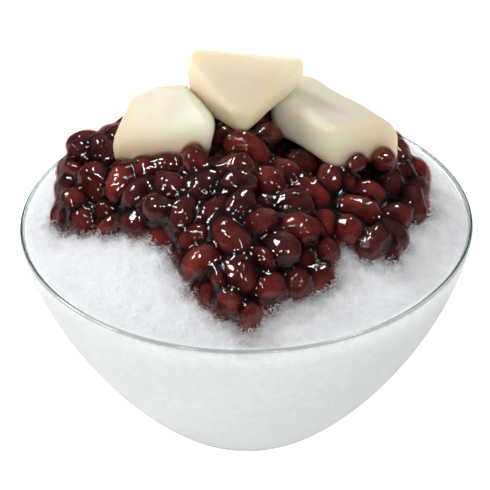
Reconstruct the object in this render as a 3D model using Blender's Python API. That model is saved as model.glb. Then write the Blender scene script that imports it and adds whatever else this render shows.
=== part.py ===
"""Bingsu: a clear glass bowl of shaved ice under a heap of sweet red beans,
with three blocks of rice cake on top.

Frame: origin at the centre of the foot, on the plane the bowl stands on.
+Z is up through the bowl, -Y is the front, +X is to the right.  All in metres.
"""
import math

import bmesh
import bpy
import numpy as np
from mathutils import Vector

MM = 0.001
GAP = 0.3 * MM                    # air left between two pieces that touch

# ---- the glass bowl -------------------------------------------------------
RIM_R = 70.0 * MM                 # outside radius of the rim
BOWL_H = 73.7 * MM                # height of the rim over the table
FOOT_R = 26.0 * MM                # outside radius of the foot
LIP_R = 1.2 * MM                  # the rim is a half round of this radius
PUNT_R = 19.0 * MM                # shallow recess under the foot
PUNT_DEPTH = 0.8 * MM
PUNT_BEVEL = 1.0 * MM
FLOOR_Z = 6.0 * MM                # top of the thick glass floor
OUT_FOOT_PULL = (24.5 * MM, 38.5)     # length and slope of the curve at the foot
OUT_RIM_PULL = (24.8 * MM, 80.8)      # length and slope of the curve at the rim
WALL_LOW = 3.4 * MM               # thickness of the wall near the foot
FLOOR_JOIN = 0.16                 # where on the wall's curve the floor runs into it
FLOOR_PULL = 17.0 * MM            # how far the floor runs out level
AROUND = 56                       # divisions around the bowl
WALL_STEPS = 8                    # divisions up each side of the wall
FLOOR_STEPS = 4                   # divisions of the floor inside

# ---- the shaved ice -------------------------------------------------------
ICE_BELOW_RIM = 2.5 * MM          # the ice meets the wall this far under the rim
ICE_DOME = 20.5 * MM              # rise of the mound from the wall to the middle
ICE_RINGS = 9
ICE_WAVE = 0.7 * MM               # soft unevenness of the mound

# ---- the heap of beans ----------------------------------------------------
HEAP_R = 57.0 * MM                # usual radius of the heap's outline
# (bearing, change of radius, width to the left, width to the right)
HEAP_BAYS = (
    (230.0, -15.5 * MM, 24.0, 18.0),   # the wide bay of bare ice at front left
    (308.0, -9.0 * MM, 8.0, 8.0),      # the narrow one at front right
    (337.0, -3.5 * MM, 9.0, 9.0),
    (188.0, 4.0 * MM, 12.0, 12.0),     # wing out to the left
    (162.0, 5.5 * MM, 12.0, 12.0),     # and a second one behind it
    (269.0, 5.0 * MM, 6.0, 6.0),       # tongue to the front
    (6.0, 2.0 * MM, 12.0, 12.0),       # right-hand end
)
HEAP_EDGE = 8.0 * MM              # thickness at the outline: one bean
HEAP_MID = 13.5 * MM              # thickness in the middle
# Where the heap is higher or lower: (x, y) of its middle, change, reach
HEAP_SWELLS = (
    ((17.0 * MM, -14.0 * MM), -2.6 * MM, 15.0 * MM),   # hollow by the right block
    ((2.0 * MM, 14.0 * MM), 7.5 * MM, 15.0 * MM),      # crown under the middle block
    ((-55.0 * MM, 13.0 * MM), 9.5 * MM, 13.0 * MM),    # beans standing on others
)
HEAP_BROW = 20                    # how squarely the edge turns down
HEAP_SPREAD = 3.5                 # how late on the way out the bays begin to show
HEAP_SKIRT = 1.2 * MM             # what is left of the thickness at the outline
HEAP_AROUND = 72
HEAP_RINGS = (0.10, 0.19, 0.28, 0.36, 0.44, 0.52, 0.59, 0.66, 0.72, 0.78, 0.83,
              0.88, 0.925, 0.965, 0.99, 1.0)
BEAN_LONG = 9.8 * MM
BEAN_WIDE = 7.4 * MM
BEAN_RELIEF = 2.2 * MM            # how far bean tops stand out of the heap

# ---- the rice-cake blocks -------------------------------------------------
# Each block is what is left of a lump after flat knife cuts.  A cut is
# (bearing of its outward side, slope of that side, distance from the middle).
CAKE_ROUND = 2.6 * MM             # soft rounding of every edge
CAKE_ROUND_STEPS = 3
ROOM_OVER = 25.0 * MM             # nothing of the heap is left this far over a block
CAKE_LEFT = dict(
    middle=(-22.0, 10.0, 28.0),
    top=(209, 55, 8.3), front=(242, 14, 12.6), left_end=(150, -15, 14.8),
    back_left=(91, 19, 10.4), back_right=(70, 28, 9.2), right_end=(-5, -12, 12.8),
    shoulder=(20, 35, 11.4), bottom=(0, -75, 6.0))
CAKE_MIDDLE = dict(
    middle=(0.0, 6.0, 40.0),
    top=(279, 60, 5.4), left_side=(221, -8, 10.0), right_side=(318, -8, 9.8),
    left_end=(163, 0, 17.6), right_end=(8, 0, 18.8), back=(88, 12, 9.4),
    tip=(266, 12, 11.0), bottom=(45, -73, 4.9))
CAKE_RIGHT = dict(
    middle=(28.0, 2.0, 29.0),
    top=(4, 74, 4.9), front_left=(229, 20, 10.2), front_right=(306, 18, 8.2),
    right_end=(10, -5, 19.2), left_end=(180, 0, 19.8), back_right=(52, 10, 15.3),
    back_left=(110, 5, 25.0), bottom=(200, -75, 6.8))

# ---- colours --------------------------------------------------------------
GLASS = ((0.82, 0.88, 0.87, 1.0), 0.03)
ICE = ((0.84, 0.86, 0.90, 1.0), 0.75)
BEANS = ((0.085, 0.018, 0.014, 1.0), 0.16)
RICE_CAKE = ((0.80, 0.70, 0.50, 1.0), 0.42)


# ---- small helpers --------------------------------------------------------
def material(name, colour, roughness, alpha=1.0):
    """A plain Principled material."""
    mat = bpy.data.materials.new(name)
    mat.use_nodes = True
    shader = mat.node_tree.nodes["Principled BSDF"]
    shader.inputs["Base Color"].default_value = colour
    shader.inputs["Roughness"].default_value = roughness
    shader.inputs["Metallic"].default_value = 0.0
    shader.inputs["Alpha"].default_value = alpha
    return mat


def add_object(name, mesh, mat):
    """Put a mesh in the scene under its own name and material."""
    obj = bpy.data.objects.new(name, mesh)
    obj.data.materials.append(mat)
    bpy.context.scene.collection.objects.link(obj)
    return obj


def smooth(obj, angle=40.0):
    """Round pieces shade smooth, with only their real corners sharp."""
    obj.data.shade_smooth()
    obj.data.set_sharp_from_angle(angle=math.radians(angle))


def pull(point, length_slope, sign):
    """The handle of a curve: a step of a given length up or down a slope."""
    length, slope = length_slope
    turn = math.radians(slope)
    return (point[0] + sign * length * math.cos(turn),
            point[1] + sign * length * math.sin(turn))


def bezier(p0, p1, p2, p3, steps):
    """Points of a cubic curve, both ends included."""
    t = np.linspace(0.0, 1.0, steps + 1)[:, None]
    p0, p1, p2, p3 = (np.array(p) for p in (p0, p1, p2, p3))
    return (1 - t) ** 3 * p0 + 3 * (1 - t) ** 2 * t * p1 + 3 * (1 - t) * t ** 2 * p2 + t ** 3 * p3


def rings_to_mesh(name, rings, cap_first, cap_last):
    """A closed skin over rings of points.

    Each ring is an (n, 3) array running anticlockwise from above.  A cap is the
    single point that closes the first or the last ring with a fan.
    """
    around = len(rings[0])
    points = np.concatenate([np.array([cap_first])] + list(rings) + [np.array([cap_last])])
    faces = []
    for i in range(around):
        j = (i + 1) % around
        faces.append((0, 1 + i, 1 + j))
        for k in range(len(rings) - 1):
            a = 1 + k * around
            b = a + around
            faces.append((a + i, b + i, b + j, a + j))
        last = 1 + (len(rings) - 1) * around
        faces.append((len(points) - 1, last + j, last + i))
    mesh = bpy.data.meshes.new(name)
    mesh.from_pydata(points.tolist(), [], faces)
    return mesh


# ---- the glass bowl -------------------------------------------------------
def outer_wall(steps):
    """Outside of the wall from the foot up to the start of the lip."""
    foot = (FOOT_R, 0.0)
    rim = (RIM_R, BOWL_H - LIP_R)
    return bezier(foot, pull(foot, OUT_FOOT_PULL, 1), pull(rim, OUT_RIM_PULL, -1), rim, steps)


def inner_wall(steps):
    """Inside of the bowl from the middle of the floor up to the lip.

    The wall's outside moved inward by its thickness, and a level floor that
    runs into it on one more curve.
    """
    fine = outer_wall(200)
    along = np.gradient(fine, axis=0)
    along /= np.linalg.norm(along, axis=1)[:, None]
    t = np.linspace(0.0, 1.0, len(fine))[:, None]
    thick = WALL_LOW + (2 * LIP_R - WALL_LOW) * t
    inside = fine + thick * np.stack([-along[:, 1], along[:, 0]], axis=1)
    inside[-1] = (RIM_R - 2 * LIP_R, BOWL_H - LIP_R)
    join = int(FLOOR_JOIN * 200)
    back = inside[join] - along[join] * 0.6 * FLOOR_PULL
    floor = bezier((0.0, FLOOR_Z), (FLOOR_PULL, FLOOR_Z), back, inside[join], FLOOR_STEPS)
    keep = np.linspace(join, 200, steps + 1).round().astype(int)
    return np.concatenate([floor[:-1], inside[keep]])


def build_bowl(mat):
    """The bowl's half section, turned about Z with a Screw modifier."""
    inside = inner_wall(WALL_STEPS)
    outside = outer_wall(WALL_STEPS)[::-1]
    centre = RIM_R - LIP_R
    turns = np.radians([135.0, 90.0, 45.0])
    lip = np.stack([centre + LIP_R * np.cos(turns),
                    BOWL_H - LIP_R + LIP_R * np.sin(turns)], axis=1)
    under = np.array([(PUNT_R + PUNT_BEVEL, 0.0), (PUNT_R, PUNT_DEPTH), (0.0, PUNT_DEPTH)])
    section = np.concatenate([inside, lip, outside, under])
    points = [(float(r), 0.0, float(z)) for r, z in section]
    mesh = bpy.data.meshes.new("glass_bowl")
    mesh.from_pydata(points, [(i, i + 1) for i in range(len(points) - 1)], [])
    bowl = add_object("glass_bowl", mesh, mat)
    turn = bowl.modifiers.new("turned", "SCREW")
    turn.axis = "Z"
    turn.angle = 2.0 * math.pi
    turn.steps = AROUND
    turn.render_steps = AROUND
    turn.use_merge_vertices = True
    turn.merge_threshold = 0.00005
    turn.use_normal_calculate = True
    turn.use_smooth_shade = True
    return bowl


# ---- the shaved ice -------------------------------------------------------
def inner_radius(z):
    """Inside radius of the bowl at a height."""
    curve = inner_wall(100)
    return np.interp(z, curve[:, 1], curve[:, 0])


ICE_TOP_Z = BOWL_H - ICE_BELOW_RIM
ICE_TOP_R = float(inner_radius(ICE_TOP_Z)) - GAP


def ice_surface(x, y):
    """Height of the mound: a parabola over the wall line with soft waves."""
    r = np.hypot(x, y) / ICE_TOP_R
    bearing = np.arctan2(y, x)
    wave = np.sin(3 * bearing + 1.0) + 0.7 * np.sin(5 * bearing + 0.4) + 0.5 * np.cos(8 * bearing)
    shape = np.clip(1 - r * r, 0.0, 1.0)
    return ICE_TOP_Z + ICE_DOME * shape + ICE_WAVE * wave * np.sin(np.pi * np.clip(r, 0, 1)) ** 2


def build_ice(mat):
    """A mound on top, and below it the inside of the bowl less the gap."""
    bearing = np.arange(AROUND) * 2 * np.pi / AROUND
    cos, sin = np.cos(bearing), np.sin(bearing)
    rings = []
    for u in np.linspace(0.0, 1.0, ICE_RINGS + 1)[1:]:
        x, y = ICE_TOP_R * u * cos, ICE_TOP_R * u * sin
        rings.append(np.stack([x, y, ice_surface(x, y)], axis=1))
    wall = inner_wall(WALL_STEPS)
    slope = np.gradient(wall, axis=0)
    slope /= np.linalg.norm(slope, axis=1)[:, None]
    shrunk = wall + GAP * np.stack([-slope[:, 1], slope[:, 0]], axis=1)
    for r, z in shrunk[::-1]:
        if z < ICE_TOP_Z - 2.0 * MM and r > 3.0 * MM:
            rings.append(np.stack([r * cos, r * sin, np.full(AROUND, z)], axis=1))
    top = (0.0, 0.0, float(ice_surface(0.0, 0.0)))
    mesh = rings_to_mesh("shaved_ice", rings, top, (0.0, 0.0, FLOOR_Z + GAP))
    ice = add_object("shaved_ice", mesh, mat)
    smooth(ice, 50.0)
    return ice


# ---- the heap of beans ----------------------------------------------------
def bell(bearing, centre, left, right):
    """1 at a bearing, falling off with one width on each side of it."""
    off = (bearing - centre + 180.0) % 360.0 - 180.0
    width = np.where(off < 0, left, right)
    return np.exp(-(off / width) ** 2)


def heap_outline(bearing):
    """Radius of the heap's edge at a bearing in degrees."""
    radius = np.full_like(bearing, HEAP_R)
    for centre, change, left, right in HEAP_BAYS:
        radius = radius + change * bell(bearing, centre, left, right)
    return radius


def heap_ring(bearing, u):
    """Plan of one ring: a plain circle inside that takes on the bays near the edge."""
    radius = HEAP_R * u + (heap_outline(bearing) - HEAP_R) * u ** HEAP_SPREAD
    turn = np.radians(bearing)
    return radius * np.cos(turn), radius * np.sin(turn)


def heap_thickness(u, x, y):
    """One bean thick at the edge, more in the middle, turned down at the brow."""
    body = HEAP_EDGE + (HEAP_MID - HEAP_EDGE) * (1 - u ** 1.6)
    for (at_x, at_y), change, reach in HEAP_SWELLS:
        away = np.hypot(x - at_x, y - at_y)
        body = body + change * np.exp(-(away / reach) ** 2)
    brow = np.sqrt(np.clip(1 - u ** HEAP_BROW, 0.0, 1.0))
    return HEAP_SKIRT + (body - HEAP_SKIRT) * brow


def bean_tops(x, y):
    """Bean-sized swellings on a sunflower spiral: 1 on a bean, 0 between."""
    count = int((HEAP_R / (0.52 * BEAN_LONG)) ** 2)
    index = np.arange(count)
    r = 1.04 * HEAP_R * np.sqrt((index + 0.5) / count)
    turn = index * math.pi * (3 - math.sqrt(5))
    off = np.hypot(x[..., None] - r * np.cos(turn), y[..., None] - r * np.sin(turn))
    reach = 0.5 * (BEAN_LONG + BEAN_WIDE) / 2
    return np.sqrt(np.clip(1 - (off / reach) ** 2, 0.0, 1.0)).max(axis=-1)


def build_heap(mat):
    """Beans and syrup as one lumpy body that sits on the mound of ice."""
    bearing = np.arange(HEAP_AROUND) * 360.0 / HEAP_AROUND
    rings = []
    for u in HEAP_RINGS:
        x, y = heap_ring(bearing, u)
        thick = heap_thickness(u, x, y)
        lump = BEAN_RELIEF * (bean_tops(x, y) - 0.6) * min(1.0, 8.0 * (1 - u))
        rings.append(np.stack([x, y, ice_surface(x, y) + GAP + thick + lump], axis=1))
    for u in (0.985, 0.8, 0.6, 0.4, 0.2):
        x, y = heap_ring(bearing, u)
        rings.append(np.stack([x, y, ice_surface(x, y) + 2.2 * GAP], axis=1))
    middle = float(ice_surface(0.0, 0.0))
    crown = float(rings[0][:, 2].mean()) + 0.2 * MM
    mesh = rings_to_mesh("bean_heap", rings, (0.0, 0.0, crown), (0.0, 0.0, middle + 2.2 * GAP))
    heap = add_object("bean_heap", mesh, mat)
    smooth(heap, 60.0)
    return heap


# ---- the rice-cake blocks -------------------------------------------------
def outward(bearing, slope):
    """Unit vector at a bearing around Z and a slope above the level."""
    a, s = math.radians(bearing), math.radians(slope)
    return np.array([math.cos(a) * math.cos(s), math.sin(a) * math.cos(s), math.sin(s)])


def build_block(name, cuts, mat, grow=0.0, raise_top=0.0, merge=0.05 * MM):
    """The sharp convex block left by the cuts, each moved outward by grow.

    A top raised far up makes a cutter that also clears what is over the block.
    Corners nearer than merge become one, so that no edge is too short to round.
    """
    cuts = dict(cuts)
    bearing, slope, distance = cuts["top"]
    cuts["top"] = (bearing, slope, distance + raise_top / MM)
    middle = np.array(cuts.pop("middle")) * MM + np.array([0.0, 0.0, BOWL_H])
    normals = np.array([outward(b, s) for b, s, _ in cuts.values()])
    reach = np.array([d * MM + grow for _, _, d in cuts.values()])
    corners = []
    for i in range(len(normals)):
        for j in range(i + 1, len(normals)):
            for k in range(j + 1, len(normals)):
                three = normals[[i, j, k]]
                if abs(np.linalg.det(three)) < 1e-3:
                    continue
                corner = np.linalg.solve(three, reach[[i, j, k]])
                if np.all(normals @ corner <= reach + 1e-7):
                    corners.append(middle + corner)
    form = bmesh.new()
    for corner in corners:
        form.verts.new(Vector(corner))
    bmesh.ops.remove_doubles(form, verts=form.verts, dist=merge)
    bmesh.ops.convex_hull(form, input=form.verts)
    loose = [v for v in form.verts if not v.link_faces]
    bmesh.ops.delete(form, geom=loose, context="VERTS")
    bmesh.ops.dissolve_limit(form, angle_limit=math.radians(2.0),
                             verts=form.verts, edges=form.edges)
    bmesh.ops.recalc_face_normals(form, faces=form.faces)
    mesh = bpy.data.meshes.new(name)
    form.to_mesh(mesh)
    form.free()
    return add_object(name, mesh, mat)


def build_cake(name, cuts, mat):
    """A block with every edge softly rounded."""
    cake = build_block(name, cuts, mat, merge=CAKE_ROUND)
    bevel = cake.modifiers.new("soft edges", "BEVEL")
    bevel.width = CAKE_ROUND
    bevel.segments = CAKE_ROUND_STEPS
    bevel.limit_method = "NONE"
    bevel.use_clamp_overlap = True
    return cake


def combine(body, tool, operation):
    """Join a second form to a body, or press it out of the body."""
    tool.hide_render = True
    tool.display_type = "WIRE"
    step = body.modifiers.new(operation.lower() + " " + tool.name, "BOOLEAN")
    step.operation = operation
    step.solver = "EXACT"
    step.object = tool


# ---- everything together --------------------------------------------------
for old in list(bpy.data.objects):
    bpy.data.objects.remove(old)

glass = material("clear_glass", *GLASS, alpha=0.35)
snow = material("shaved_ice", *ICE)
beans = material("sweet_red_bean", *BEANS)
rice = material("rice_cake", *RICE_CAKE)

build_bowl(glass)
build_ice(snow)
heap = build_heap(beans)
left = build_cake("rice_cake_left", CAKE_LEFT, rice)
middle_block = build_cake("rice_cake_middle", CAKE_MIDDLE, rice)
right = build_cake("rice_cake_right", CAKE_RIGHT, rice)

press = build_block("press_middle", CAKE_MIDDLE, rice, GAP)
combine(left, press, "DIFFERENCE")
combine(right, press, "DIFFERENCE")
rooms = (("room_left", CAKE_LEFT), ("room_right", CAKE_RIGHT), ("room_middle", CAKE_MIDDLE))
for name, cuts in rooms:
    combine(heap, build_block(name, cuts, rice, GAP, ROOM_OVER), "DIFFERENCE")
for cake in (left, middle_block, right):
    cake.data.shade_smooth()
    cake.data.set_sharp_from_angle(angle=math.radians(50.0))
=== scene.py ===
# %% [markdown]
# # Bingsu: shaved ice, sweet red beans and rice cake in a glass bowl
# The dessert is built as a cook builds it: a clear turned bowl, a mound of fine shaved ice packed
# against the glass, a heap of whole cooked beans in dark syrup, and three soft blocks of rice cake.
# The imported model gives every place and size. It is loaded first.

# %% Load the frame and the tools
import itertools
import math

import bpy
import numpy as np
from mathutils import Matrix, Vector
from mathutils.bvhtree import BVHTree


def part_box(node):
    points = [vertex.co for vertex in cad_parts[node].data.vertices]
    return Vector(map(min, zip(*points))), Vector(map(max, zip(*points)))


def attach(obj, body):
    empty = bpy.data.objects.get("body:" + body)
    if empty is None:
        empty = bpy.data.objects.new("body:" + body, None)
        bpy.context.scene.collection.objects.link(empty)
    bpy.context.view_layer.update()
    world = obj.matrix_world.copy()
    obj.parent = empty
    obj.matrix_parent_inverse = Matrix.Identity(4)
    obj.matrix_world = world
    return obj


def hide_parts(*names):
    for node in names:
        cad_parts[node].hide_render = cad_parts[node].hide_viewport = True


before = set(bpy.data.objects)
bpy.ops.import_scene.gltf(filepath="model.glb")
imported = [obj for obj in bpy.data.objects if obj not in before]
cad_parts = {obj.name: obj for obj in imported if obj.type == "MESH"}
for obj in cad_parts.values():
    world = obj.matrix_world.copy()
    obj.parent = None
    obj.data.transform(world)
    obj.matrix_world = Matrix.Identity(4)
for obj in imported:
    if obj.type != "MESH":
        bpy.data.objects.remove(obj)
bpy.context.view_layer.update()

MM = 0.001
scene = bpy.context.scene

# %% [markdown]
# ## How surfaces become pieces
# Every new surface is worked out with numpy as whole arrays of points and faces. One helper turns the
# arrays into a mesh. It first adds up the volume that the faces shut in: where that comes out
# negative, the faces look inward, and their corners are read the other way round.

# %% A helper that makes a mesh piece from arrays
def shut_volume(points, groups):
    """Volume inside the faces: the sum of the cones from the origin over fans of triangles."""
    total = 0.0
    for faces in groups:
        first = points[faces[:, 0]]
        for k in range(1, faces.shape[1] - 1):
            across = np.cross(points[faces[:, k]], points[faces[:, k + 1]])
            total += np.einsum("ij,ij->i", first, across).sum() / 6
    return total


def add_piece(name, points, groups, material, values=None):
    """A smooth-shaded object from points (n, 3) and groups of faces that have equally many corners.

    values holds named numbers, one for each point, which materials can read as attributes.
    """
    groups = [np.asarray(g) for g in groups]
    if shut_volume(points, groups) < 0:
        groups = [g[:, ::-1] for g in groups]
    mesh = bpy.data.meshes.new(name)
    mesh.from_pydata(points.tolist(), [], sum((g.tolist() for g in groups), []))
    mesh.shade_smooth()
    for key, numbers in (values or {}).items():
        attribute = mesh.attributes.new(key, "FLOAT", "POINT")
        attribute.data.foreach_set("value", np.asarray(numbers, np.float32))
    mesh.materials.append(material)
    piece = bpy.data.objects.new(name, mesh)
    scene.collection.objects.link(piece)
    return piece


def seat(piece, slot, *nodes):
    """Let a piece ride on the one body and stand for CAD nodes, which it hides. The slot is not used."""
    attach(piece, "root")
    if nodes:
        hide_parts(*nodes)
    triangles = sum(len(p.vertices) - 2 for p in piece.data.polygons)
    print(f"{piece.name}: {len(piece.data.vertices)} points, {triangles} triangles")


# %% Unit vectors, and faces between rows and rings
def unit(vectors, least=0.0):
    """Vectors over their own length, which is raised by least where it may be 0."""
    return vectors / (np.linalg.norm(vectors, axis=1) + least)[:, None]


def grid_quads(here):
    """Quads between the rows and columns of a grid of point numbers."""
    return np.stack([here[:-1, :-1], here[1:, :-1], here[1:, 1:], here[:-1, 1:]], axis=2).reshape(-1, 4)


def ring_quads(here):
    """Quads between closed rings of point numbers, one ring in each row."""
    beside = np.roll(here, -1, axis=1)
    return np.stack([here[:-1], beside[:-1], beside[1:], here[1:]], axis=2).reshape(-1, 4)


def carry_round(section, angle):
    """Points of a section of (radius, height), each carried around Z to all angles."""
    radius, height = section[:, :1], section[:, 1:]
    return np.stack([radius * np.cos(angle), radius * np.sin(angle),
                     np.repeat(height, len(angle), axis=1)], axis=2)


print("two rings of 8 points give", len(ring_quads(np.arange(16).reshape(2, 8))), "quads")

# %% [markdown]
# ## Soft random heights
# Ice, beans and rice cake are all a little uneven. The usual recipe is lattice noise: a random number
# sits on each corner of a lattice of cubes, and the numbers in between are blended with an S-curve.
# Adding finer and weaker layers gives the rough look of packed snow. A table of random numbers that
# comes from a fixed seed keeps it the same on each run.

# %% Lattice noise
TABLE_LENGTH = 4093  # random numbers that the lattice corners share
SCRAMBLE = (73856093, 19349663, 83492791)  # large primes spread the corners over the table
FAINTER = 0.55  # strength of each finer layer over the one before


def blend_corners(cell, part, value_at):
    """Sum of the values on a cell's eight corners, each times its share for a place in the cell."""
    total = np.zeros(len(cell))
    for corner in itertools.product((0, 1), repeat=3):
        total += value_at(cell + corner) * np.where(corner, part, 1 - part).prod(axis=1)
    return total


def soft_noise(points, size, seed=0):
    """Blend of the random numbers (-1 to 1) on the eight lattice corners around each point."""
    table = np.random.default_rng(seed).uniform(-1, 1, TABLE_LENGTH)
    scaled = points / size
    cell = np.floor(scaled).astype(np.int64)
    part = scaled - cell
    return blend_corners(cell, part * part * (3 - 2 * part), lambda at: table[
        np.bitwise_xor.reduce(at * SCRAMBLE, axis=1) % TABLE_LENGTH])


def rough_noise(points, size, layers, seed=0):
    """Layers of soft noise, each half as large and FAINTER times as strong as the one before."""
    return sum(FAINTER ** k * soft_noise(points, size / 2 ** k, seed + k) for k in range(layers))


print("noise at two places:", soft_noise(np.array([(0.1, 0.2, 0.3), (0.6, 0.2, 0.3)]), 1.0))

# %% [markdown]
# ## Camera
# The bowl is seen from the front and well above its rim, from 60 cm away, with a long lens that
# keeps the rim's ellipse calm. The camera stands level but for a degree of roll.

# %% Place the camera
CAMERA_TILT = math.radians(34.24)  # how far the view points down
CAMERA_ROLL = math.radians(0.88)
CAMERA_AWAY = 600 * MM
LENS, SENSOR = 140.8, 36.0  # millimetres, as on a camera
AIM = Vector((-0.5 * MM, 0.0, 62.4 * MM))
camera = bpy.data.objects.new("camera", bpy.data.cameras.new("camera"))
camera.data.lens = LENS
camera.data.sensor_width = SENSOR
camera.matrix_world = (
    Matrix.Translation(AIM) @ Matrix.Rotation(math.radians(90) - CAMERA_TILT, 4, "X")
    @ Matrix.Rotation(-CAMERA_ROLL, 4, "Z") @ Matrix.Translation((0, 0, CAMERA_AWAY)))
scene.collection.objects.link(camera)
scene.camera = camera
print("camera stands at", [round(x, 3) for x in camera.matrix_world.translation])

# %% [markdown]
# ## Light, floor and surroundings
# White food on white needs gentle light with a direction. The key softbox stands at the back left,
# high up: it lights the left of the snow and the tops of the rice cake. A small spot and two wide
# fills open the shadows from the front and the right. What makes a bean look wet is what it mirrors:
# four narrow strips add sharp glints and no light of their own, and the wide fills stay out of the
# mirrors. The room is dim in reflections too, because dark beans would turn milky in a bright one,
# while the camera itself sees it white.

# %% Helpers for node trees
def feed(tree, value, socket):
    """Link an output to a socket, or set the socket to a plain number or colour."""
    if isinstance(value, bpy.types.NodeSocket):
        tree.links.new(value, socket)
    else:
        socket.default_value = (*value, 1) if isinstance(value, tuple) and len(value) == 3 else value


def maths(tree, operation, first, second):
    """A Math node on outputs or numbers, with its result kept between 0 and 1."""
    node = tree.nodes.new("ShaderNodeMath")
    node.operation = operation
    node.use_clamp = True
    feed(tree, first, node.inputs[0])
    feed(tree, second, node.inputs[1])
    return node.outputs[0]


def ramp(tree, value, start, end, low, high):
    """A straight ramp: low where value is under start, high where it is over end."""
    node = tree.nodes.new("ShaderNodeMapRange")
    feed(tree, value, node.inputs["Value"])
    for label, number in (("From Min", start), ("From Max", end), ("To Min", low), ("To Max", high)):
        feed(tree, number, node.inputs[label])
    return node.outputs[0]


def colour_ramp(tree, mask, low, high):
    """Colour low where mask is 0, colour high where it is 1, and a blend in between."""
    node = tree.nodes.new("ShaderNodeMix")
    node.data_type = "RGBA"
    feed(tree, mask, node.inputs[0])
    feed(tree, low, node.inputs[6])
    feed(tree, high, node.inputs[7])
    return node.outputs[2]


def place_on(tree, coordinates):
    """The X, Y and Z outputs of a kind of texture coordinate."""
    place = tree.nodes.new("ShaderNodeTexCoord")
    split = tree.nodes.new("ShaderNodeSeparateXYZ")
    tree.links.new(place.outputs[coordinates], split.inputs[0])
    return split.outputs


def seen_in_mirror(tree):
    """1 for rays that come off a gloss, 0 for all others: glossy but not through glass."""
    rays = tree.nodes.new("ShaderNodeLightPath").outputs
    return maths(tree, "SUBTRACT", rays["Is Glossy Ray"], rays["Is Transmission Ray"])


print("node helpers are ready")

# %% Lamps
LAMPS = (  # name, direction, metres away, width, watts, colour, in mirrors, gives light
    ("key_softbox", (-0.58, 0.32, 0.75), 1.0, 0.22, 5.5, (0.97, 0.985, 1.0), True, True),
    ("front_spot", (0.10, -0.55, 0.85), 1.1, 0.14, 1.4, (1.0, 0.98, 0.95), True, True),
    ("right_fill", (0.85, 0.20, 0.6), 1.2, 0.8, 3.5, (1.0, 0.97, 0.94), False, True),
    ("left_strip", (-0.9, -0.15, 0.95), 1.1, 0.17, 5.0, (1.0, 0.97, 0.96), True, False),
    ("top_strip", (0.25, 0.45, 0.95), 1.1, 0.15, 3.9, (1.0, 0.97, 0.96), True, False),
    ("front_strip", (-0.32, -0.30, 0.90), 1.1, 0.13, 2.8, (1.0, 0.97, 0.96), True, False),
    ("low_strip", (0.22, -0.85, 0.62), 1.1, 0.10, 1.3, (1.0, 0.97, 0.96), True, False),
    ("low_front", (0.0, -1.0, 0.22), 1.2, 0.6, 1.1, (1.0, 0.97, 0.93), False, True))


def add_lamp(name, direction, away, width, power, colour, in_mirrors, gives_light):
    """A square area lamp that faces the middle of the bowl from a direction."""
    lamp = bpy.data.lights.new(name, "AREA")
    lamp.shape = "SQUARE"
    lamp.size = width
    lamp.energy = power
    lamp.color = colour
    obj = bpy.data.objects.new(name, lamp)
    toward = Vector(direction).normalized()
    obj.location = AIM + toward * away
    obj.rotation_mode = "QUATERNION"
    obj.rotation_quaternion = toward.to_track_quat("Z", "Y")
    obj.visible_camera = False
    obj.visible_transmission = False
    obj.visible_glossy = in_mirrors
    obj.visible_diffuse = gives_light
    scene.collection.objects.link(obj)


for lamp_row in LAMPS:
    add_lamp(*lamp_row)
print(len(LAMPS), "lamps,", sum(row[-1] for row in LAMPS), "of them give light")

# %% Room
ROOM_COLOUR = (0.97, 0.98, 1.0)
ROOM_LIGHT = 0.385
world = bpy.data.worlds.new("room")
world.use_nodes = True
scene.world = world
tree = world.node_tree
way = place_on(tree, "Generated")
behind = ramp(tree, way["Y"], -0.2, 0.4, 0.12, 0.5)
low_down = ramp(tree, way["Z"], 0.02, 0.22, 1.0, 0.30)
in_mirrors = maths(tree, "MULTIPLY", behind, low_down)
dim = tree.nodes["Background"]
feed(tree, ROOM_COLOUR, dim.inputs["Color"])
feed(tree, ramp(tree, seen_in_mirror(tree), 0.0, 1.0, ROOM_LIGHT, in_mirrors), dim.inputs["Strength"])
white = tree.nodes.new("ShaderNodeBackground")
feed(tree, (1.0, 1.0, 1.0), white.inputs["Color"])
either = tree.nodes.new("ShaderNodeMixShader")
rays = tree.nodes.new("ShaderNodeLightPath")
tree.links.new(rays.outputs["Is Camera Ray"], either.inputs["Fac"])
tree.links.new(dim.outputs[0], either.inputs[1])
tree.links.new(white.outputs[0], either.inputs[2])
tree.links.new(either.outputs[0], tree.nodes["World Output"].inputs["Surface"])
scene.view_settings.view_transform = "Standard"
print("the room lights with a strength of", ROOM_LIGHT)

# %% Floor
FLOOR_HALF = 6.0
floor_finish = bpy.data.materials.new("white_paper")
floor_finish.use_nodes = True
tree = floor_finish.node_tree
spot = place_on(tree, "Object")
seen_glow = ramp(tree, spot["X"], -0.2, 0.2, 1.8, 1.1)
mirrored_glow = ramp(tree, spot["Y"], 0.0, 0.4, 0.30, 0.6)
paper = tree.nodes["Principled BSDF"]
feed(tree, (0.5, 0.5, 0.5), paper.inputs["Base Color"])
feed(tree, 0.9, paper.inputs["Roughness"])
feed(tree, (1.0, 0.965, 0.93), paper.inputs["Emission Color"])
glow = ramp(tree, seen_in_mirror(tree), 0.0, 1.0, seen_glow, mirrored_glow)
feed(tree, glow, paper.inputs["Emission Strength"])
floor_finish.cycles.emission_sampling = "NONE"
edge = FLOOR_HALF * np.array([(-1, -1, 0), (1, -1, 0), (1, 1, 0), (-1, 1, 0)], float)
floor = add_piece("floor", edge, [[(0, 1, 2, 3)]], floor_finish)
print("a floor of", 2 * FLOOR_HALF, "m")

# %% [markdown]
# ## Finishes and the effects that they share
# Two effects come back in several finishes, so each is a node group that is built once: mottling,
# which blends two colours in soft patches, and grain, which turns fine noise into small bumps. Both
# read object coordinates, which are the same as places on the bowl, in metres.

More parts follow.
